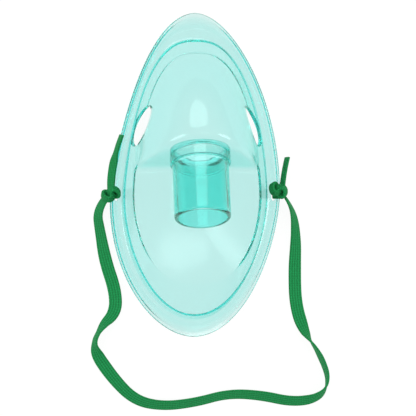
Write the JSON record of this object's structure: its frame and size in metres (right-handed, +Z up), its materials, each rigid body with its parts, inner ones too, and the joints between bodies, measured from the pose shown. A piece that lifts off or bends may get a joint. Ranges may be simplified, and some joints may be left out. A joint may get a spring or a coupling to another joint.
{
  "type": "aerosol face mask",
  "caption": "Clear soft face mask for aerosol or oxygen: oval shell with turned-out rim, nose dome, cheek openings, turning port tube and a knotted elastic head strap.",
  "frame": {"origin": "on the table plane, under the middle of the shell's length and width (the strap and its knots and tails not counted)", "axes": "+Z up from the table through the mask's front, +Y towards the nose, -Y towards the chin, +X to the right seen from above"},
  "size_m": [0.1101, 0.1799, 0.0472],
  "materials": {
    "shell": "clear soft plastic tinted aqua green, glossy",
    "port": "clear plastic tinted teal, thicker and deeper in colour, glossy",
    "strap": "flat knitted elastic with ribs along it, green, matt"
  },
  "bodies": {
    "mask": {"mask_shell": "shell", "head_strap": "strap", "left_knot": "strap", "right_knot": "strap", "left_strap_tail": "strap", "right_strap_tail": "strap"},
    "connector": {"port_connector": "port"}
  },
  "joints": [
    {"name": "port_turn", "type": "hinge", "parent": "mask", "child": "connector", "pos_m": [0, 0.0108, 0.02349], "axis": [0, -0.9272, 0.3746], "continuous": true}
  ]
}
